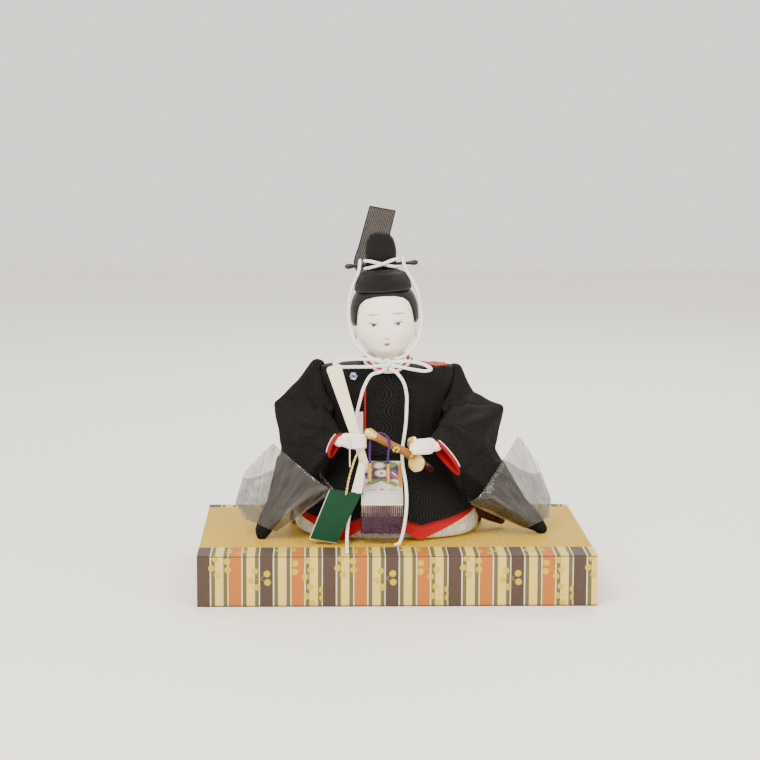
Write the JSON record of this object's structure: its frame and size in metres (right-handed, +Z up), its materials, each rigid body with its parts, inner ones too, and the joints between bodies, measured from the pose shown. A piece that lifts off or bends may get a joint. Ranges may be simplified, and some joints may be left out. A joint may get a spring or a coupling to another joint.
{
  "type": "seated tenjin doll",
  "caption": "Seated court-noble doll in a black robe with tall hat, tablet and sword on a brocade-edged dais; head, hat tail, tablet, tag and tassel lift off or swing.",
  "frame": {"origin": "middle of the dais underside", "axes": "+Z up, the doll faces -Y, +X to the doll's left"},
  "size_m": [0.3, 0.2, 0.2922],
  "materials": {
    "plain_wood": "bare",
    "mat_weave": "gold woven facing",
    "brocade": "striped brocade",
    "straw": "bound straw",
    "wire": "paper-wrapped wire",
    "white_silk": "matte",
    "red_silk": "matte",
    "black_silk": "damask",
    "lacquered_gauze": "black lacquer",
    "hair_silk": "combed silk",
    "shell_white": "matte shell white",
    "white_cord": "braided",
    "clear_film": "clear film",
    "sash_silk": "embroidered",
    "purple_silk": "fringe and cord",
    "pale_brass": "satin",
    "gold_brass": "polished",
    "amber_lacquer": "gloss lacquer",
    "maroon_lacquer": "gloss lacquer",
    "dark_lacquer": "gloss lacquer",
    "pale_wood": "planed",
    "gauze": "stiff gauze",
    "paper": "folded",
    "tag_card": "matte",
    "string": "thin twine",
    "tinsel": "metallic thread",
    "knot_silk": "blue and white"
  },
  "bodies": {
    "dais": {"dais_core": "plain_wood", "mat_facing": "mat_weave", "front_edging": "brocade", "back_edging": "brocade", "right_end_cloth": "brocade", "left_end_cloth": "brocade"},
    "doll": {"base_board": "plain_wood", "straw_trunk": "straw", "right_arm_wire": "wire", "left_arm_wire": "wire", "hakama": "white_silk", "under_robe": "red_silk", "robe_body": "black_silk", "belt": "lacquered_gauze", "train": "black_silk", "right_hand": "shell_white", "left_hand": "shell_white", "right_sleeve": "black_silk", "left_sleeve": "black_silk", "right_sleeve_lining": "red_silk", "left_sleeve_lining": "red_silk", "right_sleeve_cover": "clear_film", "left_sleeve_cover": "clear_film", "white_collar": "white_silk", "red_collar": "red_silk", "second_collar": "white_silk", "robe_collar": "black_silk", "front_edge": "red_silk", "pocket_paper": "paper", "collar_knot": "knot_silk", "shoulder_flap": "red_silk", "sash_board": "sash_silk", "sash_fringe": "purple_silk", "fringe_wrap": "clear_film", "sword_hilt": "amber_lacquer", "sword_guard": "pale_brass", "sword_scabbard": "maroon_lacquer"},
    "neck_peg": {"neck_peg": "plain_wood", "right_cord_tail": "white_cord", "left_cord_tail": "white_cord"},
    "head": {"head": "shell_white", "hair": "hair_silk", "hat_cap": "lacquered_gauze", "hat_crown": "lacquered_gauze", "hat_pin": "dark_lacquer", "right_chin_cord": "white_cord", "left_chin_cord": "white_cord", "upper_cross_cord": "white_cord", "lower_cross_cord": "white_cord", "bow_knot": "white_cord", "right_bow_loop": "white_cord", "left_bow_loop": "white_cord"},
    "hat_tail": {"hat_tail": "gauze"},
    "tablet": {"tablet": "pale_wood"},
    "tag": {"tag_card": "tag_card", "tag_string": "string", "tag_tie": "tinsel"},
    "sword_tassel": {"sword_cord": "purple_silk", "right_cord_tube": "gold_brass", "left_cord_tube": "gold_brass"}
  },
  "joints": [
    {"name": "doll_lift", "type": "slide", "parent": "dais", "child": "doll", "axis": [0, 0, 1], "range_m": [0, 0.12]},
    {"name": "head_lift", "type": "slide", "parent": "doll", "child": "neck_peg", "axis": [0, 0, 1], "range_m": [0, 0.045]},
    {"name": "head_turn", "type": "hinge", "parent": "neck_peg", "child": "head", "pos_m": [-0.005, 0.01, 0.175], "axis": [0, 0, 1], "range_deg": [-25, 25], "deforming": ["right_cord_tail", "left_cord_tail"]},
    {"name": "tail_pull", "type": "slide", "parent": "head", "child": "hat_tail", "axis": [-0.061, 0, 0.9981], "range_m": [0, 0.02]},
    {"name": "tablet_lift", "type": "slide", "parent": "doll", "child": "tablet", "axis": [-0.3047, 0.199, 0.9314], "range_m": [0, 0.045]},
    {"name": "tag_swing", "type": "hinge", "parent": "doll", "child": "tag", "pos_m": [-0.0346, -0.0524, 0.1254], "axis": [-1, 0, 0], "range_deg": [0, 60]},
    {"name": "tassel_swing", "type": "hinge", "parent": "doll", "child": "sword_tassel", "pos_m": [-0.01179, -0.06335, 0.12091], "axis": [-0.7937, -0.3778, 0.4768], "range_deg": [0, 40]}
  ]
}
